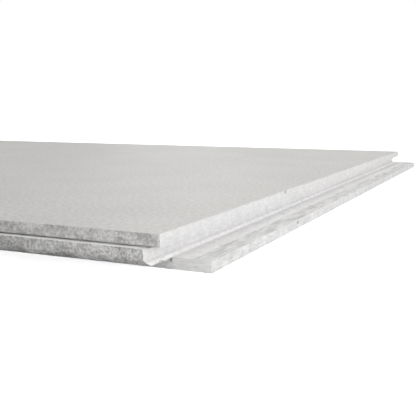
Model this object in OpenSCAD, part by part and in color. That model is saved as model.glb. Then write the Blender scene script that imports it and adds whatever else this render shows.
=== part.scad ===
// Dry screed board: one pressed sheet of gypsum fibre with a tongue and groove milled round its edges.
// The front (-Y) and left (-X) edges carry the tongue, the right (+X) and back (+Y) edges the groove.
// A lower step reaches out under the groove and is cut back by as much under the tongue, so that
// boards laid side by side lap over each other. The board lies flat with its walking side up.

/* [Board] */
// Length that one board covers, from lip face to lip face along X
cover_length = 1200; // [600:10:2000]
// Width that one board covers, from lip face to lip face along Y
cover_width = 600; // [300:10:1250]
// Thickness of the sheet
thickness = 20; // [17:0.5:40]

/* [Milled edge] */
// Thickness of the upper lip, from the walking side down to the roof of the groove
lip_thickness = 6; // [4:0.25:8]
// Thickness of the lower step
step_thickness = 6; // [4:0.25:8]
// How far the lower step reaches out beyond the lip on the groove edges
step_reach = 17; // [10:0.5:40]
// How far the tongue stands out in front of the lip on the tongue edges
tongue_reach = 5; // [3:0.25:9]
// Size of the slope below the tongue, and of the matching slope at the foot of the groove
lead_in = 2.5; // [0.5:0.25:3.5]

/* [Glue line] */
// Play between the tongue and the groove, in the depth of the groove
tongue_play = 0.5; // [0.1:0.1:2]
// Play between the tip of the tongue and the roof of the groove
tip_play = 0.1; // [0.1:0.1:0.6]
// Play between the lower step and the lap above it, in the reach of the step
step_play = 0.5; // [0.1:0.1:2]
// Height of the glue relief at its back; the top of the tongue falls from its tip to the foot of this relief
relief_height = 0.8; // [0.7:0.1:1.2]
// Depth of the glue relief, measured inwards from the lip face
relief_depth = 3; // [0.5:0.25:8]

/* [Hidden] */

gypsum_fibre = [0.80, 0.80, 0.79];

// Heights of the milled levels above the underside
lip_underside = thickness - lip_thickness;
tongue_tip = lip_underside - tip_play;
relief_foot = lip_underside - relief_height;
slope_top = step_thickness + lead_in;

// Places of the milled faces, measured inwards from the lip face of their own edge
groove_depth = tongue_reach + tongue_play;
lap_depth = step_reach + step_play;

// How far a cutter runs past the board at each end of its path
cutter_overrun = 10;

// Cross-section through both edges of one direction, the tongue edge's lip face at zero
function section(cover) = concat(tongue_edge(), groove_edge(cover));

// The tongue edge from the walking side down: lip, glue relief, tongue, slope and lap
function tongue_edge() = [
    [0, thickness],
    [0, lip_underside],
    [relief_depth, lip_underside],
    [relief_depth, relief_foot],
    [-tongue_reach, tongue_tip],
    [-tongue_reach, slope_top],
    [-tongue_reach + lead_in, step_thickness],
    [lap_depth, step_thickness],
    [lap_depth, 0]
];

// The groove edge from the underside up: step, slope, groove and lip
function groove_edge(cover) = [
    [cover + step_reach, 0],
    [cover + step_reach, step_thickness],
    [cover - groove_depth + lead_in, step_thickness],
    [cover - groove_depth, slope_top],
    [cover - groove_depth, lip_underside],
    [cover, lip_underside],
    [cover, thickness]
];

// Distance from the zero of a section to the middle of the whole board
function middle(cover) = (cover + step_reach - tongue_reach) / 2;

// Length of a cutter's path along a board's side
function cutter_path(cover) = cover + step_reach + tongue_reach + 2 * cutter_overrun;

// Section across the width, run along the length: the front and back edges
module long_edges() {
    rotate([90, 0, 90])
        translate([-middle(cover_width), 0, -cutter_path(cover_length) / 2])
            linear_extrude(cutter_path(cover_length))
                polygon(section(cover_width));
}

// Section across the length, run along the width: the left and right edges
module short_edges() {
    rotate([90, 0, 0])
        translate([-middle(cover_length), 0, -cutter_path(cover_width) / 2])
            linear_extrude(cutter_path(cover_width))
                polygon(section(cover_length));
}

// The board is what both passes leave standing
module board() {
    color(gypsum_fibre)
        intersection() {
            long_edges();
            short_edges();
        }
}

board();
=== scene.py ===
# %% [markdown]
# # A dry screed board
# A dry screed board is a flat sheet of gypsum pressed together with paper fibre. Boards like it are
# laid side by side to make a floor without any wet mortar. The two faces come out of the press
# smooth and matt. The four edges are milled afterwards to a stepped tongue and groove, and the
# cutters leave them rougher: crumbly, speckled and a little chipped. So the lesson has one body and
# two finishes.
#
# The CAD model gives the exact section and size. It is loaded first, because everything below is
# measured from it.

# %% Load the frame
import math

import bpy
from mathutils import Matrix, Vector


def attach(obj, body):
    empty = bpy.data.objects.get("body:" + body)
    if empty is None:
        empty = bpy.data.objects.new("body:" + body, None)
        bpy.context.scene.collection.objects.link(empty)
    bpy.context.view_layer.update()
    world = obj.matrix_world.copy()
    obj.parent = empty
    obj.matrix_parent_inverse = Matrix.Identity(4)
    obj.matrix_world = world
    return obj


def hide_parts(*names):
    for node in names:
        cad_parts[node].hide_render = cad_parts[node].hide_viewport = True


MM = 0.001
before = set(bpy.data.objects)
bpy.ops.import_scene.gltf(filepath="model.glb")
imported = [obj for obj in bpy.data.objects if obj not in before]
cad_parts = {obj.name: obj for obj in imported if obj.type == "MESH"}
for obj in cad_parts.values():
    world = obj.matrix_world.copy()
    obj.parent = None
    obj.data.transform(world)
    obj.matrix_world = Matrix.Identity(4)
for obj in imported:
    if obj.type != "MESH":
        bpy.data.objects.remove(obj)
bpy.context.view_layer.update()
cad_points = [point.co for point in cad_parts["board"].data.vertices]


def in_mm(place):
    """Coordinates in millimetres, rounded for printing."""
    return [round(value / MM, 2) for value in place]


# %% [markdown]
# ## Reading the section
# Every level of the board is the same rectangle, pushed a little towards the groove edges or back
# towards the tongue edges. Its sizes could be typed in again from a drawing, but two copies of a
# size drift apart. The CAD node has a corner at each turn of the section, so the turns are read off
# its left and right ends. The top of the tongue climbs to its tip; the tip is read as if it lay
# level, and its climb is kept for later.

# %% Collect the corners of the section
DIGITS = 5

corners = {(round(point.x, DIGITS), round(point.z, DIGITS)) for point in cad_points}
outermost = min(x for x, z in corners)
tip_height = max(z for x, z in corners if x == outermost)
relief_foot = max(z for x, z in corners if z < tip_height)
corners = {(x, relief_foot if z == tip_height else z) for x, z in corners}
print("Corners of the section:", len(corners))
print("Climb of the tongue in mm:", in_mm([tip_height - relief_foot]))

# %% [markdown]
# The corners are then put in order, from the walking side down. Where both ends turn at one height,
# the left end goes first, so that at a corner of the board the lap is finished before the step
# begins.

# %% Put the turns in order


def turns_at(height, side, last_x):
    """Places of the turns at one height, on the left (-1) or right (+1) end, in travel order."""
    places = [x for x, z in corners if z == height and x * side > 0]
    return sorted(places, key=lambda x: abs(x - last_x))


def read_section():
    """The section as (left place, right place, height), one entry for each turn, top down."""
    left = right = 0.0
    turns = []
    for height in sorted({z for x, z in corners}, reverse=True):
        lefts = turns_at(height, -1, left)
        rights = turns_at(height, 1, right)
        turns += [(place, rights[0], height) for place in lefts]
        turns += [(lefts[-1], place, height) for place in rights[1:]]
        left, right, _ = turns[-1]
    return turns


section = read_section()
print("Turns of the section in mm:", [in_mm(turn) for turn in section])

# %% Measure the walking side
LOOSELY = 0.1 * MM

lip_left, lip_right, walking_height = section[0]
lip_ys = [point.y for point in cad_points if abs(point.z - walking_height) < LOOSELY]
lip_front, lip_back = min(lip_ys), max(lip_ys)
length = lip_right - lip_left
width = lip_back - lip_front
near_corner = Vector((lip_right, lip_front, walking_height))
print("Walking side in mm:", in_mm((length, width)), "and its near corner:", in_mm(near_corner))

# %% [markdown]
# ## The camera
# The picture was taken close to one corner with a fairly long lens. A camera could be turned by eye
# until the view looks right, but the two sets of parallel edges meet at vanishing points just above
# the board, and those fix the direction and the angle of view. The camera is placed from the
# nearest corner of the walking side, so it stays right if the board changes length.

# %% Place the camera
CAMERA_FROM_CORNER = Vector((142.3, -256.6, 55.1)) * MM
CAMERA_TURN = math.radians(24.92)
CAMERA_DIP = math.radians(8.49)
LENS_MM = 59.4
SENSOR_MM = 36.0
NEAREST_SEEN = 10 * MM


def add_object(name, data):
    """A new object in the scene, made of a mesh, a light or a camera."""
    made = bpy.data.objects.new(name, data)
    bpy.context.scene.collection.objects.link(made)
    return made


camera_data = bpy.data.cameras.new("camera")
camera_data.sensor_width = SENSOR_MM
camera_data.lens = LENS_MM
camera_data.clip_start = NEAREST_SEEN
camera = add_object("camera", camera_data)
camera.location = near_corner + CAMERA_FROM_CORNER
camera.rotation_euler = (math.pi / 2 - CAMERA_DIP, 0.0, CAMERA_TURN)
bpy.context.scene.camera = camera
print("Camera in mm:", in_mm(camera.location))

# %% [markdown]
# ## Helpers for node trees
# Shaders and Geometry Nodes are both trees of nodes. A tree could be drawn by hand in the node
# editor, but then the script could not carry it. Written out in full, each node takes five or six
# lines. One helper that adds a node, sets its properties and feeds its inputs keeps each step of a
# tree on a line or two.

# %% Add a node


def put(tree, kind, feed=None, **settings):
    """Adds a node, sets its properties and feeds its inputs with values or other nodes' sockets."""
    node = tree.nodes.new(kind)
    for name, value in settings.items():
        setattr(node, name, value)
    for key, value in (feed or {}).items():
        matching = [socket for socket in node.inputs if socket.enabled and socket.name == key]
        socket = matching[0] if matching else node.inputs[key]
        if isinstance(value, bpy.types.NodeSocket):
            tree.links.new(value, socket)
        else:
            socket.default_value = value
    return node


print("Helper that adds nodes:", put.__name__)

# %% Calculate with nodes


def sums(tree, operation, *values):
    """Result of a Math node fed with numbers or sockets."""
    return put(tree, "ShaderNodeMath", dict(enumerate(values)), operation=operation).outputs[0]


def spread(tree, value, low, high, start=0.0, end=1.0, blend="LINEAR"):
    """Result of a Map Range node that takes start..end to low..high."""
    feed = {"Value": value, "From Min": start, "From Max": end, "To Min": low, "To Max": high}
    return put(tree, "ShaderNodeMapRange", feed, interpolation_type=blend).outputs["Result"]


def blended(tree, values, weights):
    """Sum of values, each times its weight."""
    total = 0.0
    for value, weight in zip(values, weights):
        total = sums(tree, "MULTIPLY_ADD", value, weight, total)
    return total


def scaled(tree, vector, factor):
    """A vector or colour times a factor."""
    feed = {0: vector, "Scale": factor}
    return put(tree, "ShaderNodeVectorMath", feed, operation="SCALE").outputs["Vector"]


print("Helpers that calculate:", [helper.__name__ for helper in (sums, spread, blended, scaled)])

# %% Make patterns and colours


def stretched(tree, vector, stretch):
    """Coordinates that draw a pattern out along their X axis."""
    feed = {"Vector": vector, "Scale": (1 / stretch, 1, 1)}
    return put(tree, "ShaderNodeMapping", feed).outputs["Vector"]


def noise(tree, vector, size, detail=2.0, roughness=0.5):
    """Value of a noise whose lumps are about size metres across."""
    feed = {"Vector": vector, "Scale": 1.0 / size, "Detail": detail, "Roughness": roughness}
    return put(tree, "ShaderNodeTexNoise", feed).outputs[0]


def tinted(tree, factor, dark, light):
    """Colour between dark and light by a factor from 0 to 1."""
    mix = put(tree, "ShaderNodeMix", {"Factor": factor, "A": dark, "B": light}, data_type="RGBA")
    return next(socket for socket in mix.outputs if socket.enabled)


def carried(tree, note):
    """Value that the points of the board carry under a name."""
    return put(tree, "ShaderNodeAttribute", attribute_name=note).outputs["Fac"]


print("Helpers for patterns:", [helper.__name__ for helper in (stretched, noise, tinted, carried)])

# %% Start and dress a material


def new_material(name):
    """An empty material with its tree and its Principled shader."""
    material = bpy.data.materials.new(name)
    material.use_nodes = True
    return material, material.node_tree, material.node_tree.nodes["Principled BSDF"]


def dress(tree, shader, colour, roughness, bump, shine):
    """Feeds a shader with its colour, roughness and bump, and sets how much it shines."""
    normal = put(tree, "ShaderNodeBump", bump).outputs["Normal"]
    tree.links.new(colour, shader.inputs["Base Color"])
    tree.links.new(roughness, shader.inputs["Roughness"])
    tree.links.new(normal, shader.inputs["Normal"])
    shader.inputs["Specular IOR Level"].default_value = shine


print("Helpers for materials:", [helper.__name__ for helper in (new_material, dress)])

# %% [markdown]
# ## The pressed faces
# The press leaves the walking side and the underside smooth, matt and almost even in tone, with a
# soft sheen where light falls along them. Close up there is a fine laid grain and a faint
# cloudiness where the mix was denser. A picture of a board could be laid on, but it would repeat
# and blur close up, so two noises make the grain and the clouds. A bump of a few hundredths of a
# millimetre is enough; more would look like stone.

# %% Pattern of the pressed faces
PRESSED_CLOUD = 60 * MM
PRESSED_GRAIN = 2.0 * MM
GRAIN_STRETCH = 1.3

pressed_face, tree, shader = new_material("pressed_face")
place = put(tree, "ShaderNodeTexCoord").outputs["Object"]
along_board = stretched(tree, place, GRAIN_STRETCH)
cloud = noise(tree, place, PRESSED_CLOUD, detail=3.0)
grain = noise(tree, along_board, PRESSED_GRAIN, detail=4.0, roughness=0.6)
print("Pressed clouds and grain in mm:", in_mm((PRESSED_CLOUD, PRESSED_GRAIN)))

# %% Finish of the pressed faces
PRESSED_DARK = (0.419, 0.412, 0.399, 1.0)
PRESSED_LIGHT = (0.690, 0.681, 0.664, 1.0)
PRESSED_MIX = (0.15, 0.85)
PRESSED_RANGE = (0.28, 0.72)
PRESSED_ROUGHNESS = (0.55, 0.70)
PRESSED_RELIEF = 0.04 * MM
PRESSED_BUMP = 0.6
PRESSED_SHINE = 0.5
PAINTED_PIT_SHADE = "hollow"
PAINTED_PIT_DARKNESS = 0.75

tone = spread(tree, blended(tree, (cloud, grain), PRESSED_MIX), 0.0, 1.0, *PRESSED_RANGE)
# Painted shade: the bottom of a chip is darkened here, by the note the wear tree leaves.
lit = sums(tree, "SUBTRACT", 1.0, sums(tree, "MULTIPLY", carried(tree, PAINTED_PIT_SHADE), PAINTED_PIT_DARKNESS))
colour = scaled(tree, tinted(tree, tone, PRESSED_DARK, PRESSED_LIGHT), lit)
roughness = spread(tree, grain, *PRESSED_ROUGHNESS)
bump = {"Strength": PRESSED_BUMP, "Distance": PRESSED_RELIEF, "Height": grain}
dress(tree, shader, colour, roughness, bump, PRESSED_SHINE)
print("Pressed finish:", len(tree.nodes), "nodes")

# %% [markdown]
# ## The milled edges
# The cutters tear through gypsum and paper alike, so the edges are speckled: dark pits where a lump
# came away, light flecks of bare gypsum, and streaks along the cutter's path. One noise for all of
# them would look like sand, so each mark has its own. The streaks have to follow each edge round
# the board, so they use the board's own map, laid out along the edge and across the section. The
# specks have no direction and use the object's coordinates.

# %% Pattern of the milled edges
EDGE_MAP = "edge_run"
MILLED_CLOUD = 8 * MM
MILLED_GRAIN = 1.3 * MM
MILLED_STREAK = 1.4 * MM
MILLED_SMEAR = 5.0 * MM
STREAK_STRETCH = 4.0
PIT_SPACING = 3.6 * MM
PIT_RANGE = (0.06, 0.2)

milled_edge, tree, shader = new_material("milled_edge")
place = put(tree, "ShaderNodeTexCoord").outputs["Object"]
run = put(tree, "ShaderNodeUVMap", uv_map=EDGE_MAP).outputs["UV"]
along_edge = stretched(tree, run, STREAK_STRETCH)
cloud = noise(tree, place, MILLED_CLOUD, detail=3.0)
grain = noise(tree, place, MILLED_GRAIN, detail=5.0, roughness=0.62)
streak = noise(tree, along_edge, MILLED_STREAK, detail=3.0)
smear = noise(tree, along_edge, MILLED_SMEAR, detail=3.0)
cells = {"Vector": place, "Scale": 1.0 / PIT_SPACING, "Randomness": 1.0}
pits = put(tree, "ShaderNodeTexVoronoi", cells).outputs["Distance"]
sound = spread(tree, pits, 0.0, 1.0, *PIT_RANGE)
print("Milled pattern:", len(tree.nodes), "nodes")

# %% [markdown]
# The lip and the tongue stand out, and they are given a greyer and more speckled tone than the
# faces that lie back in the groove and the lap. They could have a material of their own, but its
# tone would end in a hard line. One material with two tones, mixed by a note that the board's
# points carry, fades from one to the other.

# %% Tones of the milled edges
GREYER_SHARE = "handled"
PLAIN_DARK = (0.565, 0.558, 0.554, 1.0)
PLAIN_LIGHT = (0.825, 0.819, 0.817, 1.0)
GREYER_DARK = (0.255, 0.250, 0.244, 1.0)
GREYER_LIGHT = (0.780, 0.772, 0.765, 1.0)
CRUMBLY_MIX = (0.5, 0.15, 0.35)
PLANED_MIX = (0.45, 0.3, 0.25)
PLAIN_RANGE = (0.29, 0.69)
GREYER_RANGE = (0.385, 0.585)
PLAIN_PIT = 0.8
GREYER_PIT = 0.5


def pitted(tree, pattern, tone_range, pit):
    """A tone from a pattern, darker in the pits."""
    tone = spread(tree, pattern, 0.0, 1.0, *tone_range)
    return sums(tree, "MULTIPLY", tone, spread(tree, sound, pit, 1.0))


handled = carried(tree, GREYER_SHARE)
crumbly = blended(tree, (grain, streak, cloud), CRUMBLY_MIX)
planed = blended(tree, (streak, grain, cloud), PLANED_MIX)
plain_pattern = pitted(tree, planed, PLAIN_RANGE, PLAIN_PIT)
greyer_pattern = pitted(tree, crumbly, GREYER_RANGE, GREYER_PIT)
plain_colour = tinted(tree, plain_pattern, PLAIN_DARK, PLAIN_LIGHT)
greyer_colour = tinted(tree, greyer_pattern, GREYER_DARK, GREYER_LIGHT)
milled_colour = tinted(tree, handled, plain_colour, greyer_colour)
print("Milled tones:", len(tree.nodes), "nodes")

# %% [markdown]
# Three more notes shade this colour: the outer cutter pass is smeared, some faces get painted light
# and painted shade, and the bottom of a chip gets painted shade. The relief is the pattern itself,
# so that every dark speck is also a small dip.

# %% Finish of the milled edges
OUTER_PASS = "outer_pass"
PAINTED_LIGHT = "pale"
OUTER_SHADE = 0.24
SMEAR_RANGE = (0.37, 0.57)
PIT_HEIGHT = 0.2
MILLED_ROUGHNESS = (0.86, 0.98)
MILLED_RELIEF = 0.35 * MM
MILLED_BUMP = 1.0
MILLED_SHINE = 0.2

smears = spread(tree, smear, OUTER_SHADE, 0.0, *SMEAR_RANGE)
smeared = sums(tree, "MULTIPLY", carried(tree, OUTER_PASS), smears)
# Painted shade darkens the chips, and the note of painted light lightens some faces and, below
# zero, darkens others.
shade = sums(tree, "MULTIPLY_ADD", carried(tree, PAINTED_PIT_SHADE), PAINTED_PIT_DARKNESS, smeared)
lit = sums(tree, "SUBTRACT", sums(tree, "ADD", carried(tree, PAINTED_LIGHT), 1.0), shade)
torn = sums(tree, "MULTIPLY_ADD", sums(tree, "SUBTRACT", crumbly, planed), handled, planed)
height = sums(tree, "MULTIPLY_ADD", sound, PIT_HEIGHT, torn)
roughness = spread(tree, cloud, *MILLED_ROUGHNESS)
bump = {"Strength": MILLED_BUMP, "Distance": MILLED_RELIEF, "Height": height}
dress(tree, shader, scaled(tree, milled_colour, lit), roughness, bump, MILLED_SHINE)
print("Milled finish:", len(tree.nodes), "nodes")

# %% [markdown]
# ## Rings down the section
# The milled section runs round all four edges. It could be drawn out along each side and the ends
# cut to fit, but that leaves four bodies to join at the corners. A stack of rings, one for each
# place along the section, turns the corners by itself. A ring only needs to know how far its left
# and right ends stand from the lip faces and how high it lies, so it fits in one point: X is the
# left offset, Y the right one and Z the height. The two faces close on a line along the middle of
# the board.

# %% Describe a ring
path = [Vector((left - lip_left, right - lip_right, height)) for left, right, height in section]
relief_back, tongue_tip, tongue_foot, slope_foot = path[4:8]
step_top, step_end = path[-2:]


def closing(turn):
    """The ring on which a face closes: a line along the middle of the board."""
    middle = (turn.x + turn.y) / 2
    return Vector((middle + width / 2, middle - width / 2, turn.z))


def inside(turn, margin):
    """The ring a little way in from a face's outline."""
    return turn + Vector((margin, -margin, 0.0))


def reach(step):
    """Length of a step along the section, on the side where it is longer."""
    return max(math.hypot(step.x, step.z), math.hypot(step.y, step.z))


print("Rings in mm, from", in_mm(path[0]), "down to", in_mm(step_end))

# %% [markdown]
# The turns of the section are cut off very slightly, as a worn arris is, because a perfectly sharp
# edge catches no light. Between the turns, more rings carry the relief: few on a face that looks
# down, where it is hidden, and the most on the slopes.

# %% Cut the arrises
ARRIS_WIDTH = 0.2 * MM
ARRIS_SHARE = 0.4
STRAIGHT = 1e-9


def cut_back(turn, towards):
    """The place where the cut at a turn meets the stretch that leads towards another turn."""
    return turn.lerp(towards, min(ARRIS_WIDTH / reach(towards - turn), ARRIS_SHARE))


def is_arris(before, turn, after, axis, sign):
    """1 where one side of the board has an outer arris at a turn, and 0 elsewhere."""
    come = turn - before
    leave = after - turn
    return 1.0 if sign * (come[axis] * leave.z - come.z * leave[axis]) < -STRAIGHT else 0.0


print("Cut of an arris in mm:", in_mm([ARRIS_WIDTH]))

# %% Stack the rings
RING_STEP = 1.15 * MM
SLOPE_STEP = 0.45 * MM
HIDDEN_STEP = 5 * MM
FACE_MARGINS = (5.0 * MM, 2.2 * MM, 0.9 * MM)
EXACTLY = 0.01 * MM
TONGUE_SIDE = (0, -1)
GROOVE_SIDE = (1, 1)

rings = [closing(path[0])] + [inside(path[0], margin) for margin in FACE_MARGINS]
ring_notes = {note: [0.0] * len(rings) for note in ("milled", "tongue_arris", "groove_arris")}


def step_along(stretch):
    """Distance between rings: coarse on a face that looks down, and finest on the slopes."""
    level = abs(stretch.z) < EXACTLY
    if level and (stretch.x > 0 or stretch.y < 0):
        return HIDDEN_STEP
    return SLOPE_STEP if not level and stretch.x > LOOSELY else RING_STEP


def add_ring(ring, *notes):
    """Adds a ring and its notes: milled, arris on the tongue edges, arris on the groove edges."""
    rings.append(ring)
    for values, note in zip(ring_notes.values(), notes):
        values.append(note)


def add_turn(before, turn, after):
    """Adds the rings that lead up to a turn and the two rings of its cut arris."""
    last = rings[-1]
    start = cut_back(turn, before)
    count = max(1, round(reach(start - last) / step_along(start - last)))
    for step in range(1, count):
        add_ring(last.lerp(start, step / count), 1.0, 0.0, 0.0)
    outer = [is_arris(before, turn, after, *side) for side in (TONGUE_SIDE, GROOVE_SIDE)]
    add_ring(start, 1.0, *outer)
    add_ring(cut_back(turn, after), 1.0, *outer)


whole_path = [inside(path[0], FACE_MARGINS[0]), *path, inside(step_end, FACE_MARGINS[0])]
for before, turn, after in zip(whole_path, whole_path[1:], whole_path[2:]):
    add_turn(before, turn, after)
for margin in reversed(FACE_MARGINS):
    add_ring(inside(step_end, margin), 0.0, 0.0, 0.0)
add_ring(closing(step_end), 0.0, 0.0, 0.0)
print("Rings down the section:", len(rings))

# %% [markdown]
# ## Notes of the rings
# A ring knows more than its place. It could be worked out again for every point of the board, but
# it is the same all the way round, so each ring carries notes for the tree to look up. The first
# ones are for the shape: how far the ring lies across the edge, how much the top of the tongue
# climbs there, and how much the board's corners are cut off.

# %% Note the shape
PLAN_CUT = 0.2 * MM
LONGEST_ACROSS = 50 * MM


def climb(ring):
    """How far a ring is lifted on the tongue edges, where the tongue's top climbs to its tip."""
    up_the_top = (relief_back.x - ring.x) / (relief_back.x - tongue_tip.x)
    down_the_front = (ring.z - tongue_foot.z) / (tongue_tip.z - tongue_foot.z)
    below_lip = ring.z < tongue_tip.z + EXACTLY
    share = max(0.0, min(up_the_top, down_the_front, 1.0))
    return (tip_height - relief_foot) * share if below_lip else 0.0


ring_notes["across"] = [0.0]
for last, ring in zip(rings, rings[1:]):
    ring_notes["across"].append(ring_notes["across"][-1] + min(reach(ring - last), LONGEST_ACROSS))
ring_notes["climb"] = [climb(ring) for ring in rings]
ring_notes["plan_cut"] = [PLAN_CUT] * len(rings)
ring_notes["plan_cut"][0] = ring_notes["plan_cut"][-1] = 0.0
print("Way across the whole edge in mm:", in_mm(ring_notes["across"][-1:]))

# %% [markdown]
# The next notes are for the finish: which faces get the greyer tone. The lip and the tongue stand
# out on the tongue edges, and so does the end of the step on the groove edges.

# %% Note what gets the greyer tone
NEARLY = 0.05 * MM
LIP_GREYNESS = 0.75
TONGUE_GREYNESS = 1.0
STEP_GREYNESS = 0.25


def greyness(ring):
    """How much greyer tone a ring gets: the lip, the tongue's front and the slope below it stand
    out.
    """
    if ring.x > LOOSELY or ring.z < tongue_foot.z - reach(slope_foot - tongue_foot):
        return 0.0
    if ring.z > tongue_tip.z + NEARLY:
        return LIP_GREYNESS
    return TONGUE_GREYNESS if ring.z < tongue_tip.z - NEARLY else 0.0


ring_notes["stands_out"] = [greyness(ring) for ring in rings]
ring_notes["step_end"] = [STEP_GREYNESS if ring.y > step_end.y - LOOSELY else 0.0 for ring in rings]
print("Greyer rings:", sum(value > 0 for value in ring_notes["stands_out"]))

# %% [markdown]
# Some faces get painted light, and a few painted shade. The top of the tongue lies back and is
# painted lighter, as if lit like the walking side. On the groove edges a painted highlight runs
# along the lower slope with a painted shadow of the lip above it, the inner part of the ledge is
# painted a little lighter against the shade of its corner, and the arris of the lip is painted a
# little darker so that it catches less light.

# %% Note the painted light and shade
CUTTER_SEAM = 7.3 * MM
PAINTED_TONGUE_TOP_LIGHT = 0.2
PAINTED_SLOPE_LIGHT = 0.05
PAINTED_SLOPE_SWING = 0.14
PAINTED_SLOPE_START = 0.46
PAINTED_LEDGE_LIGHT = 0.06
PAINTED_ARRIS_SHADE = -0.07
PAINTED_ARRIS_WIDTH = 0.3 * MM
SLOPE_SLACK = 0.01


def pale_on_tongue(ring):
    """How much painted light a ring gets on the tongue edges: the top of the tongue."""
    level = abs(ring.z - tongue_tip.z) < NEARLY
    return PAINTED_TONGUE_TOP_LIGHT if level and tongue_tip.x - EXACTLY < ring.x < relief_back.x else 0.0


def pale_on_groove(ring):
    """How much painted light a ring gets on the groove edges; below zero it is painted shade."""
    if abs(ring.z - slope_foot.z) < EXACTLY and slope_foot.y < ring.y < CUTTER_SEAM:
        return PAINTED_LEDGE_LIGHT
    if ring.z > walking_height - PAINTED_ARRIS_WIDTH:
        return PAINTED_ARRIS_SHADE
    # A painted shadow of the lip high on the slope, and a painted highlight lower down.
    down = (tongue_foot.z - ring.z) / (tongue_foot.z - slope_foot.z)
    on_slope = -SLOPE_SLACK < down < 1 + SLOPE_SLACK and ring.y < slope_foot.y + NEARLY
    wave = math.sin(2 * math.pi * (down - PAINTED_SLOPE_START))
    return PAINTED_SLOPE_LIGHT + PAINTED_SLOPE_SWING * wave if on_slope else 0.0


ring_notes["pale_on_tongue"] = [pale_on_tongue(ring) for ring in rings]
ring_notes["pale_on_groove"] = [pale_on_groove(ring) for ring in rings]
print("Notes of a ring:", list(ring_notes))

# %% [markdown]
# ## Chips
# A board that has been on a pallet is never whole: it has a few chips, one deep pit below the
# slope, small burrs where the paper held, and knocked corners at the far end. They could be
# sculpted by hand, but then they would not follow a change of size. Each is listed by its place
# along the right edge and becomes a short row of points, which later dents the surface around it;
# the deeper dents are painted with shade.

# %% List the chips
# In mm: from and to, measured from the near corner, then offset from the lip face, height, radius
# and depth. A depth below zero is a burr.
CHIPS = [
    (170.0, 173.0, 0.0, 19.0, 1.5, 1.2),
    (143.8, 146.0, 17.0, 3.7, 1.3, 1.1),
    (162.0, 163.5, 0.8, 6.0, 1.5, 0.7),
    (17.3, 17.6, -4.4, 5.2, 1.2, 1.4),
    (10.8, 12.6, -2.9, 5.7, 0.9, -0.3),
    (8.6, 9.2, -2.8, 5.7, 0.9, -0.8),
    (6.2, 6.8, -3.0, 6.0, 1.1, 1.0),
    (599.0, 600.0, 0.0, 19.5, 1.8, 0.5),
    (616.5, 617.0, 17.0, 5.5, 1.8, 0.5),
]
CHIP_STEP = 0.8


def chip_row(start, end, *rest):
    """A chip as a row of points along the edge: (run, offset, height, radius, depth)."""
    gaps = math.ceil((end - start) / CHIP_STEP)
    return [(start + (end - start) * step / gaps, *rest) for step in range(gaps + 1)]


chip_points = [point for chip in CHIPS for point in chip_row(*chip)]
print("Chips:", len(CHIPS), "as", len(chip_points), "points")

# %% [markdown]
# ## Stations round the board
# The corner nearest the camera shows every crumb, and the far ends show none. Even spacing would
# waste points or lose the crumbs. So the stations along each side stand close together near that
# corner and near the chips, and drift apart elsewhere. A rule of one line does this: the step grows
# with the distance from the nearest close-up place. The stations of a side run from the tip of a
# tongue to the end of a step; a ring that is shorter than that stops at its own corner.

# %% Spread the stations
FINE_STEP = 0.6 * MM
STEP_GROWTH = 0.012
COARSE_STEP = 5 * MM


def stations(side, close_ups):
    """Places along a side, from its first lip face on, close together near the close-up places."""
    marks = [tongue_tip.x]
    while marks[-1] < side + step_end.x:
        nearest = min(abs(marks[-1] - place) for place in close_ups)
        marks.append(marks[-1] + min(FINE_STEP + STEP_GROWTH * nearest, COARSE_STEP))
    return marks


chip_runs = [point[0] * MM for point in chip_points]
along_length = [lip_left + mark for mark in stations(length, [length])]
along_right = [lip_front + mark for mark in stations(width, [0.0] + chip_runs)]
along_left = [lip_front + mark for mark in stations(width, [0.0])]
print("Stations along the length and the ends:", *map(len, (along_length, along_right, along_left)))

# %% Walk round the board
FAR_OFF = 2 * length

front_walk = [(x, -FAR_OFF, 0.0) for x in along_length]
right_walk = [(FAR_OFF, y, 1.0) for y in along_right]
back_walk = [(x, FAR_OFF, 0.0) for x in reversed(along_length)]
left_walk = [(-FAR_OFF, y, 1.0) for y in reversed(along_left)]
sides = (front_walk, right_walk, back_walk, left_walk)
walk = [place for side in sides for place in side] + front_walk[:1]
print("Stations round the board:", len(walk))

# %% [markdown]
# The stations carry notes as well: the number of their side, whether it is a groove edge, and how
# fine they stand. Where they drift apart, the relief has to fade, because a coarse mesh would turn
# it into dents. The groove edges are cut cleaner, so they get less of it.

# %% Note the stations
GROOVE_EDGES = (0.0, 1.0, 1.0, 0.0)
RELIEF_STEP = 1.0 * MM
GROOVE_RELIEF = 0.4


def fineness(places):
    """1 where a side's stations stand close enough for the relief, and less elsewhere."""
    gaps = [math.dist(last, place) for last, place in zip(places, places[1:])]
    return [min(1.0, RELIEF_STEP / gap) for gap in gaps + gaps[-1:]]


walk_notes = {"side": [], "groove_side": [], "fine": []}
for number, (side, groove) in enumerate(zip(sides, GROOVE_EDGES)):
    share = GROOVE_RELIEF if groove else 1.0
    walk_notes["side"] += [float(number)] * len(side)
    walk_notes["groove_side"] += [groove] * len(side)
    walk_notes["fine"] += [share * fine for fine in fineness(side)]
for note in walk_notes.values():
    note.append(note[0])
print("Notes of a station:", list(walk_notes))

# %% [markdown]
# ## The board as a Geometry Nodes tree
# The board could be written point by point in Python, but a shape that follows a rule is best made
# by a tree: change a size and the whole board follows. The tree starts from a flat grid with one
# row for each ring and one column for each station. Every point looks up its ring and its station
# and goes to its place.

# %% Start a geometry tree


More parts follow.
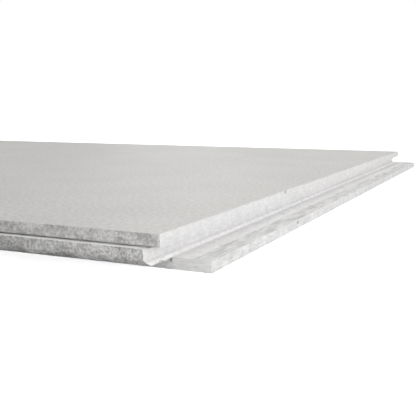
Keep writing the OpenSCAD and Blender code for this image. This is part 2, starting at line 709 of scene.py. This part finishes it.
def new_tree(name, inputs):
    """A geometry tree with a geometry and further named inputs, as (tree, inputs, output)."""
    tree = bpy.data.node_groups.new(name, "GeometryNodeTree")
    tree.interface.new_socket(name="Geometry", in_out="INPUT", socket_type="NodeSocketGeometry")
    for label, kind in inputs.items():
        tree.interface.new_socket(name=label, in_out="INPUT", socket_type="NodeSocket" + kind)
    tree.interface.new_socket(name="Geometry", in_out="OUTPUT", socket_type="NodeSocketGeometry")
    return tree, put(tree, "NodeGroupInput").outputs, put(tree, "NodeGroupOutput")


CUTTER_STEP = 0.12 * MM

sweep_sizes = {
    "Lip left": lip_left,
    "Lip right": lip_right,
    "Lip front": lip_front,
    "Lip back": lip_back,
    "Cutter seam": CUTTER_SEAM,
    "Cutter step": CUTTER_STEP,
    "Step height": step_top.z,
}
sweep_inputs = {"Rings": "Object", "Walk": "Object", "Finish": "Material"}
sweep_inputs |= dict.fromkeys(sweep_sizes, "Float")
sweep, given, out = new_tree("milled_board", sweep_inputs)
print("Inputs of the board tree:", list(sweep_inputs))

# %% Read and write values in a tree


def named(tree, attribute):
    """Values of a named attribute."""
    return put(tree, "GeometryNodeInputNamedAttribute", {"Name": attribute}).outputs["Attribute"]


def shape_of(tree, source):
    """Geometry of an object that was given to the tree."""
    return put(tree, "GeometryNodeObjectInfo", {"Object": source}).outputs["Geometry"]


def looked_up(tree, source, index, value, kind="FLOAT"):
    """A value of the point with an index on another geometry."""
    feed = {"Geometry": source, "Index": index, "Value": value}
    node = put(tree, "GeometryNodeSampleIndex", feed, data_type=kind, domain="POINT")
    return node.outputs["Value"]


def noted(tree, geometry, name, value, kind="FLOAT", domain="POINT"):
    """Geometry with a value stored under a name."""
    feed = {"Geometry": geometry, "Name": name, "Value": value}
    node = put(tree, "GeometryNodeStoreNamedAttribute", feed, data_type=kind, domain=domain)
    return node.outputs["Geometry"]


def passed(tree, kind, geometry, **feed):
    """Geometry that went through a node, with the node's other inputs by name."""
    return put(tree, kind, {"Geometry": geometry} | feed).outputs["Geometry"]


geometry_helpers = (named, shape_of, looked_up, noted, passed)
print("Helpers for geometry:", [helper.__name__ for helper in geometry_helpers])

# %% Lay out the grid
HALF_STEP = 0.5


def point_count(geometry):
    """How many points a geometry of the board tree has."""
    node = put(sweep, "GeometryNodeAttributeDomainSize", {"Geometry": geometry})
    return node.outputs["Point Count"]


ring_line = shape_of(sweep, given["Rings"])
walk_line = shape_of(sweep, given["Walk"])
ring_count = point_count(ring_line)
grid = {"Vertices X": point_count(walk_line), "Vertices Y": ring_count}
sheet = put(sweep, "GeometryNodeMeshGrid", grid).outputs["Mesh"]
sheet = put(sweep, "GeometryNodeFlipFaces", {"Mesh": sheet}).outputs["Mesh"]
number = put(sweep, "GeometryNodeInputIndex").outputs["Index"]
in_column = sums(sweep, "DIVIDE", sums(sweep, "ADD", number, HALF_STEP), ring_count)
station_number = sums(sweep, "FLOOR", in_column)
ring_number = sums(sweep, "SUBTRACT", number, sums(sweep, "MULTIPLY", station_number, ring_count))
print("Board tree with its grid:", len(sweep.nodes), "nodes")

# %% Look up ring and station
position = put(sweep, "GeometryNodeInputPosition").outputs["Position"]
ring_place = looked_up(sweep, ring_line, ring_number, position, "FLOAT_VECTOR")
walk_place = looked_up(sweep, walk_line, station_number, position, "FLOAT_VECTOR")
low, high, level = put(sweep, "ShaderNodeSeparateXYZ", {0: ring_place}).outputs
free_x, free_y, turned = put(sweep, "ShaderNodeSeparateXYZ", {0: walk_place}).outputs


def ring_note(name):
    """A note of the point's ring."""
    return looked_up(sweep, ring_line, ring_number, named(sweep, name))


def walk_note(name):
    """A note of the point's station."""
    return looked_up(sweep, walk_line, station_number, named(sweep, name))


print("Board tree with its lookups:", len(sweep.nodes), "nodes")

# %% [markdown]
# ## Places of the points
# Now the lookups become places. A point stays at its station unless its ring ends before that; then
# it stops at the ring's corner, which is cut off a little. This keeps every column straight and
# every corner closed, without a special case for the corners.

# %% Place the points in plan


def kept_between(free, lowest, highest, cut):
    """A place along one axis, kept inside the ring and a little short of its corners."""
    first = sums(sweep, "ADD", sums(sweep, "ADD", lowest, low), cut)
    last = sums(sweep, "SUBTRACT", sums(sweep, "ADD", highest, high), cut)
    return sums(sweep, "MINIMUM", sums(sweep, "MAXIMUM", free, first), last)


plan_cut = ring_note("plan_cut")
cut_x = sums(sweep, "MULTIPLY", plan_cut, sums(sweep, "SUBTRACT", 1.0, turned))
cut_y = sums(sweep, "MULTIPLY", plan_cut, turned)
board_x = kept_between(free_x, given["Lip left"], given["Lip right"], cut_x)
board_y = kept_between(free_y, given["Lip front"], given["Lip back"], cut_y)
print("Board tree with its plan:", len(sweep.nodes), "nodes")

# %% [markdown]
# The heights come from the rings, with two exceptions. The top of the tongue climbs on the tongue
# edges only. And the step under the groove was milled in two passes, of which the outer one went a
# hair deeper, so it leaves a faint seam along the step.

# %% Place the points in height
groove_side = walk_note("groove_side")
tongue_side = sums(sweep, "SUBTRACT", 1.0, groove_side)
on_step = sums(sweep, "COMPARE", level, given["Step height"], NEARLY)
past_seam = sums(sweep, "GREATER_THAN", high, given["Cutter seam"])
outer_pass = sums(sweep, "MULTIPLY", sums(sweep, "MULTIPLY", on_step, past_seam), groove_side)
lift = sums(sweep, "MULTIPLY", ring_note("climb"), tongue_side)
drop = sums(sweep, "MULTIPLY", outer_pass, given["Cutter step"])
board_z = sums(sweep, "ADD", level, sums(sweep, "SUBTRACT", lift, drop))
target = put(sweep, "ShaderNodeCombineXYZ", {"X": board_x, "Y": board_y, "Z": board_z}).outputs[0]
print("Board tree with its heights:", len(sweep.nodes), "nodes")

# %% [markdown]
# ## Notes on the points
# The streaks of the finish need a map of the edge, unrolled: along the edge one way, across the
# section the other. Blender could unwrap the mesh, but the grid already knows both, so they are
# stored as they are. The value is taken on the points before it goes to the corners of the faces,
# because the grid's numbers count points. The sides lie far apart on the map, so no two share a
# streak.

# %% Unroll the edges
SIDE_APART = 3 * (length + width)


def between(tree, low, high, share):
    """A number that lies a share of the way from low to high."""
    return sums(tree, "MULTIPLY_ADD", sums(tree, "SUBTRACT", high, low), share, low)


along = between(sweep, board_x, board_y, turned)
edge_run = sums(sweep, "ADD", along, sums(sweep, "MULTIPLY", walk_note("side"), SIDE_APART))
unrolled = {"X": edge_run, "Y": ring_note("across")}
unrolled_place = put(sweep, "ShaderNodeCombineXYZ", unrolled).outputs[0]
by_point = {"data_type": "FLOAT_VECTOR", "domain": "POINT"}
on_points = put(sweep, "GeometryNodeFieldOnDomain", {"Value": unrolled_place}, **by_point)
edge_place = on_points.outputs["Value"]
print("Board tree with its map:", len(sweep.nodes), "nodes")

# %% [markdown]
# The arrises are noted for the nicks: those along the edges, and a weaker note where a ring turns a
# corner of the board. The painted light comes from the rings, and round the sawn end of a tongue,
# where a groove edge begins, more light is painted on to lift the shade there.

# %% Find arrises and the painted light at the ends
CORNER_ARRIS = 0.4
HAIR = 0.001 * MM
PAINTED_END_LIGHT = 0.1
PAINTED_END_FROM = -4 * MM
PAINTED_END_TO = 6 * MM

free_along = between(sweep, free_x, free_y, turned)
held_back = sums(sweep, "ABSOLUTE", sums(sweep, "SUBTRACT", free_along, along))
stopped = sums(sweep, "GREATER_THAN", held_back, HAIR)
milled_corner = sums(sweep, "MULTIPLY", stopped, ring_note("milled"))
corner_arris = sums(sweep, "MULTIPLY", milled_corner, CORNER_ARRIS)
edge_arris = between(sweep, ring_note("tongue_arris"), ring_note("groove_arris"), groove_side)
first_lip = between(sweep, given["Lip left"], given["Lip front"], turned)
past_lip = sums(sweep, "SUBTRACT", along, first_lip)
# Painted light where each groove edge begins, fading over a few millimetres.
painted_end_light = spread(sweep, past_lip, PAINTED_END_LIGHT, 0.0, PAINTED_END_FROM, PAINTED_END_TO)
painted_ring_light = between(sweep, ring_note("pale_on_tongue"), ring_note("pale_on_groove"), groove_side)
print("Board tree with arrises and pale ends:", len(sweep.nodes), "nodes")

# %% Note and close the board
point_notes = {
    "milled": ring_note("milled"),
    "arris": sums(sweep, "MAXIMUM", edge_arris, corner_arris),
    "fine": walk_note("fine"),
    GREYER_SHARE: between(sweep, ring_note("stands_out"), ring_note("step_end"), groove_side),
    OUTER_PASS: outer_pass,
    PAINTED_LIGHT: sums(sweep, "ADD", painted_ring_light, sums(sweep, "MULTIPLY", groove_side, painted_end_light)),
}
for name, value in point_notes.items():
    sheet = noted(sweep, sheet, name, value)
sheet = noted(sweep, sheet, EDGE_MAP, edge_place, "FLOAT2", "CORNER")
sheet = passed(sweep, "GeometryNodeSetPosition", sheet, Position=target)
sheet = passed(sweep, "GeometryNodeMergeByDistance", sheet, Distance=HAIR)
sheet = passed(sweep, "GeometryNodeRealizeInstances", sheet)
sheet = passed(sweep, "GeometryNodeSetMaterial", sheet, Material=given["Finish"])
sweep.links.new(sheet, out.inputs["Geometry"])
print("Board tree:", len(sweep.nodes), "nodes; notes on a point:", list(point_notes))

# %% [markdown]
# ## Sweeping the board
# A tree runs as a modifier on an object. It could stay there, but the finished board has to be a
# plain mesh that anyone can open, so the result is copied out and the modifier removed. The rings
# and stations go in as two small helper objects, whose points carry the notes; they are removed
# again afterwards. Merging the doubles closed the last column onto the first and each face onto its
# middle line.

# %% Run a tree


def helper_line(name, points, notes):
    """An object whose points carry places and named notes for a tree to look up."""
    line = bpy.data.meshes.new(name)
    line.from_pydata(points, [], [])
    for label, values in notes.items():
        line.attributes.new(label, "FLOAT", "POINT").data.foreach_set("value", values)
    return add_object(name, line)


def grow(name, mesh, tree, values):
    """Runs a geometry tree on a mesh and gives the result as a plain mesh."""
    blank = add_object(name + "_blank", mesh)
    modifier = blank.modifiers.new(tree.name, "NODES")
    modifier.node_group = tree
    for socket in tree.interface.items_tree:
        if socket.in_out == "INPUT" and socket.name in values:
            modifier[socket.identifier] = values[socket.name]
    bpy.context.view_layer.update()
    evaluated = blank.evaluated_get(bpy.context.evaluated_depsgraph_get())
    made = bpy.data.meshes.new_from_object(evaluated)
    made.name = name
    for slot in reversed(range(len(made.materials))):
        if made.materials[slot] is None:
            made.materials.pop(index=slot)
    blank.modifiers.remove(modifier)
    bpy.data.objects.remove(blank)
    return made


print("Helpers that run a tree:", [helper.__name__ for helper in (helper_line, grow)])

# %% Sweep the board
ring_helper = helper_line("rings", rings, ring_notes)
walk_helper = helper_line("walk", walk, walk_notes)
sweep_values = {"Rings": ring_helper, "Walk": walk_helper, "Finish": pressed_face} | sweep_sizes
swept = grow("swept_board", bpy.data.meshes.new("start"), sweep, sweep_values)
bpy.data.objects.remove(ring_helper)
bpy.data.objects.remove(walk_helper)
top_normals = [face.normal.z for face in swept.polygons if face.center.z > walking_height - EXACTLY]
print("Swept board:", len(swept.polygons), "faces; top normals from", round(min(top_normals), 3))

# %% [markdown]
# ## Wear
# Milled gypsum is never a clean plane. Three things wear it: a shallow relief all over the milled
# faces, small nicks along the outer arrises, and the chips. Sculpting would do for one board, but
# all three follow the surface by a rule, so a second tree moves the points inwards along their
# normals. Only the burrs move outwards, and they lie back under the lip, so the board keeps its
# size.

# %% Wear by relief and nicks
RELIEF_RANGE = (0.3, 0.7)
NICK_RANGE = (0.45, 0.75)

wear_sizes = {
    "Relief depth": 0.14 * MM,
    "Relief size": 2.2 * MM,
    "Nick depth": 0.3 * MM,
    "Nick size": 3.0 * MM,
    "Chip grain": 0.9 * MM,
    "Painted shade depth": 1.3 * MM,
    "Seed": 4.0,
}
wear_inputs = {"Chips": "Object", "Pressed": "Material", "Milled": "Material"}
wear_inputs |= dict.fromkeys(wear_sizes, "Float")
wear, given, out = new_tree("edge_wear", wear_inputs)


def field_noise(size, detail):
    """Noise on the points' places, with lumps of about size metres and the tree's seed."""
    feed = {"Scale": sums(wear, "DIVIDE", 1.0, size), "W": given["Seed"], "Detail": detail}
    return put(wear, "ShaderNodeTexNoise", feed, noise_dimensions="4D").outputs[0]


relief = spread(wear, field_noise(given["Relief size"], 1.5), 0.0, 1.0, *RELIEF_RANGE)
relief_share = sums(wear, "MULTIPLY", named(wear, "milled"), named(wear, "fine"))
relief = sums(wear, "MULTIPLY", sums(wear, "MULTIPLY", relief, relief_share), given["Relief depth"])
nicks = spread(wear, field_noise(given["Nick size"], 3.0), 0.0, 1.0, *NICK_RANGE)
nicks = sums(wear, "MULTIPLY", nicks, named(wear, "arris"))
nicks = sums(wear, "MULTIPLY", nicks, given["Nick depth"])
print("Wear tree with relief and nicks:", len(wear.nodes), "nodes")

# %% [markdown]
# A chip is a dent around a point. The tree looks up the nearest chip point with its radius and
# depth. A plain round dent would look drilled, so a fine noise makes its rim crumble.

# %% Wear by chips
CRUMBLE = (0.6, 1.4)
CRUMBLE_RANGE = (0.25, 0.75)
CHIP_RIM = 1.0
CHIP_CORE = 0.25

chips = shape_of(wear, given["Chips"])
to_nearest = put(wear, "GeometryNodeSampleNearest", {"Geometry": chips}, domain="POINT")
nearest = to_nearest.outputs["Index"]
radius = looked_up(wear, chips, nearest, named(wear, "radius"))
depth = looked_up(wear, chips, nearest, named(wear, "depth"))
to_chips = put(wear, "GeometryNodeProximity", {"Geometry": chips}, target_element="POINTS")
crumble = spread(wear, field_noise(given["Chip grain"], 2.0), *CRUMBLE, *CRUMBLE_RANGE)
crumbled = sums(wear, "MULTIPLY", to_chips.outputs["Distance"], crumble)
closeness = sums(wear, "DIVIDE", crumbled, radius)
inside_chip = spread(wear, closeness, 0.0, 1.0, CHIP_RIM, CHIP_CORE, "SMOOTHSTEP")
# Painted shade: the deeper the chip, the darker its bottom is painted, full at the given depth.
deepness = spread(wear, depth, 0.0, 1.0, 0.0, given["Painted shade depth"])
chip_painted_shade = sums(wear, "MULTIPLY", inside_chip, deepness)
print("Wear tree with chips:", len(wear.nodes), "nodes")

# %% [markdown]
# At the end the tree moves the points, notes how much painted shade the chips get, and gives each
# face its finish: milled where all its points are, and pressed elsewhere.

# %% Move the points and set the finishes
THREE_OF_FOUR = 0.75

chipped = sums(wear, "MULTIPLY", inside_chip, depth)
taken_off = sums(wear, "ADD", sums(wear, "ADD", relief, nicks), chipped)
normal = put(wear, "GeometryNodeInputNormal").outputs["Normal"]
move = scaled(wear, normal, sums(wear, "MULTIPLY", taken_off, -1.0))
is_milled = sums(wear, "GREATER_THAN", named(wear, "milled"), THREE_OF_FOUR)
worn = noted(wear, given["Geometry"], PAINTED_PIT_SHADE, chip_painted_shade)
worn = passed(wear, "GeometryNodeSetPosition", worn, Offset=move)
worn = passed(wear, "GeometryNodeRealizeInstances", worn)
worn = passed(wear, "GeometryNodeSetMaterial", worn, Material=given["Pressed"])
worn = passed(wear, "GeometryNodeSetMaterial", worn, Selection=is_milled, Material=given["Milled"])
wear.links.new(worn, out.inputs["Geometry"])
print("Wear tree:", len(wear.nodes), "nodes")

# %% [markdown]
# ## The finished board
# The second tree runs on the swept mesh, with the chips as a third helper. Smooth shading would
# round off the section, so every edge that turns by more than a few tens of degrees is marked
# sharp.

# %% Wear the board
SHARP_TURN = math.radians(26)

chip_columns = [[value * MM for value in column] for column in zip(*chip_points)]
runs, offsets, heights, radii, depths = chip_columns
chip_places = [
    (lip_right + offset, lip_front + run, height)
    for run, offset, height in zip(runs, offsets, heights)
]
chip_notes = {"radius": radii, "depth": depths}
chip_helper = helper_line("chips", chip_places, chip_notes)
wear_values = {"Chips": chip_helper, "Pressed": pressed_face, "Milled": milled_edge} | wear_sizes
worn_mesh = grow("screed_board", swept, wear, wear_values)
worn_mesh.set_sharp_from_angle(angle=SHARP_TURN)
bpy.data.objects.remove(chip_helper)
board = add_object("screed_board", worn_mesh)
triangles = sum(len(face.vertices) - 2 for face in worn_mesh.polygons)
finishes = [finish.name for finish in worn_mesh.materials]
print("Worn board:", triangles, "triangles, finishes", finishes)

# %% [markdown]
# ## Light
# The picture was lit by large soft lights, so no shadow has a hard edge. One lamp and a bright sky
# would be quicker, but the faces of the section would melt together. Two softboxes on the right
# make the groove edge the brightest. One overhead and one behind light the walking side, and a low
# one far behind gives it its soft sheen. Two small ones by the near corner let the front edge fade
# to the left. One more lights the left half, which the picture doesn't show.

# %% Set up the softboxes
WIDE_OPEN = 180

# Name, place and aim from the near corner, width and height, all in metres, then spread in degrees
# and power in watts
SOFTBOXES = [
    ("softbox_right", (1.15, 0.0, 0.41), (0.0, 0.05, 0.0), (0.7, 0.4), WIDE_OPEN, 3.4),
    ("softbox_far", (1.15, 0.7, 0.41), (0.0, 0.7, 0.0), (0.7, 0.4), WIDE_OPEN, 4.25),
    ("softbox_over", (0.0, 0.15, 1.2), (0.0, 0.15, 0.0), (0.8, 0.6), WIDE_OPEN, 2.6),
    ("softbox_back", (0.1, 0.75, 0.8), (0.0, 0.3, 0.0), (0.8, 0.6), WIDE_OPEN, 1.8),
    ("softbox_front", (0.4, -0.6, 0.15), (0.08, 0.05, -0.01), (0.15, 0.08), 30, 0.07),
    ("softbox_lip", (0.3, -0.6, 0.35), (0.08, 0.05, -0.01), (0.15, 0.15), 40, 0.04),
    ("softbox_left", (-1.1, 0.3, 0.9), (-1.0, 0.3, 0.0), (0.5, 0.5), 60, 0.5),
    ("softbox_sheen", (-1.22, 2.42, 0.5), (-0.1, 0.3, 0.0), (0.6, 0.6), WIDE_OPEN, 2.8),
]


def add_softbox(name, spot, aim, size, opening, power):
    """Adds a rectangular light that stands at a spot and looks at its aim."""
    light = bpy.data.lights.new(name, "AREA")
    light.shape = "RECTANGLE"
    light.size, light.size_y = size
    light.energy = power
    light.spread = math.radians(opening)
    softbox = add_object(name, light)
    softbox.location = near_corner + Vector(spot)
    softbox.rotation_euler = (Vector(aim) - Vector(spot)).to_track_quat("-Z", "Y").to_euler()


for softbox in SOFTBOXES:
    add_softbox(*softbox)
print("Softboxes:", [name for name, *_ in SOFTBOXES])

# %% [markdown]
# A weak even sky fills what the softboxes leave dark. Seen directly it should be white, but a white
# sky would flood the board with light. So the sky is white for rays that come from the camera or a
# reflection, and weak for the rays that carry light.

# %% Set up the sky
SKY_STRENGTH = 0.42
WHITE = (1.0, 1.0, 1.0, 1.0)


def seen_directly(tree):
    """1 for a ray from the camera, a reflection or a clear body, and 0 for other rays."""
    light_path = put(tree, "ShaderNodeLightPath").outputs
    shiny = sums(tree, "MAXIMUM", light_path["Is Glossy Ray"], light_path["Is Transmission Ray"])
    return sums(tree, "MAXIMUM", light_path["Is Camera Ray"], shiny)


world = bpy.data.worlds.new("sky")
world.use_nodes = True
bpy.context.scene.world = world
sky = world.node_tree.nodes["Background"]
sky.inputs["Color"].default_value = WHITE
strength = spread(world.node_tree, seen_directly(world.node_tree), SKY_STRENGTH, 1.0)
world.node_tree.links.new(strength, sky.inputs["Strength"])
print("Sky strength:", SKY_STRENGTH)

# %% [markdown]
# ## Floor
# The board lies on a wide pale floor. Its whiteness comes from a glow that only the camera and
# reflections see, for the same reason as with the sky. For all other rays it is an ordinary pale
# floor, so it throws little light up and still takes the board's shadow.

# %% Lay the floor
FLOOR_SIZE = 30.0
FLOOR_COLOUR = (0.65, 0.65, 0.65, 1.0)
FLOOR_ROUGHNESS = 0.9
FLOOR_GLOW = 0.87

half = FLOOR_SIZE / 2
floor_corners = [(-half, -half, 0), (half, -half, 0), (half, half, 0), (-half, half, 0)]
floor_mesh = bpy.data.meshes.new("floor")
floor_mesh.from_pydata(floor_corners, [], [(0, 1, 2, 3)])
floor = add_object("floor", floor_mesh)
floor_white, tree, shader = new_material("floor_white")
shader.inputs["Base Color"].default_value = FLOOR_COLOUR
shader.inputs["Roughness"].default_value = FLOOR_ROUGHNESS
shader.inputs["Emission Color"].default_value = WHITE
glow = spread(tree, seen_directly(tree), 0.0, FLOOR_GLOW)
tree.links.new(glow, shader.inputs["Emission Strength"])
floor_mesh.materials.append(floor_white)
print("Floor", FLOOR_SIZE, "m square")

# %% [markdown]
# ## Hand over
# The worn board stands for the CAD node and moves with the frame's only body. The view transform is
# set to Standard, so that colours come out as they were written. The two boxes are kept for
# comparing the sizes.

# %% Name the pieces and finish
bpy.context.scene.view_settings.view_transform = "Standard"
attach(board, "root")
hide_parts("board")
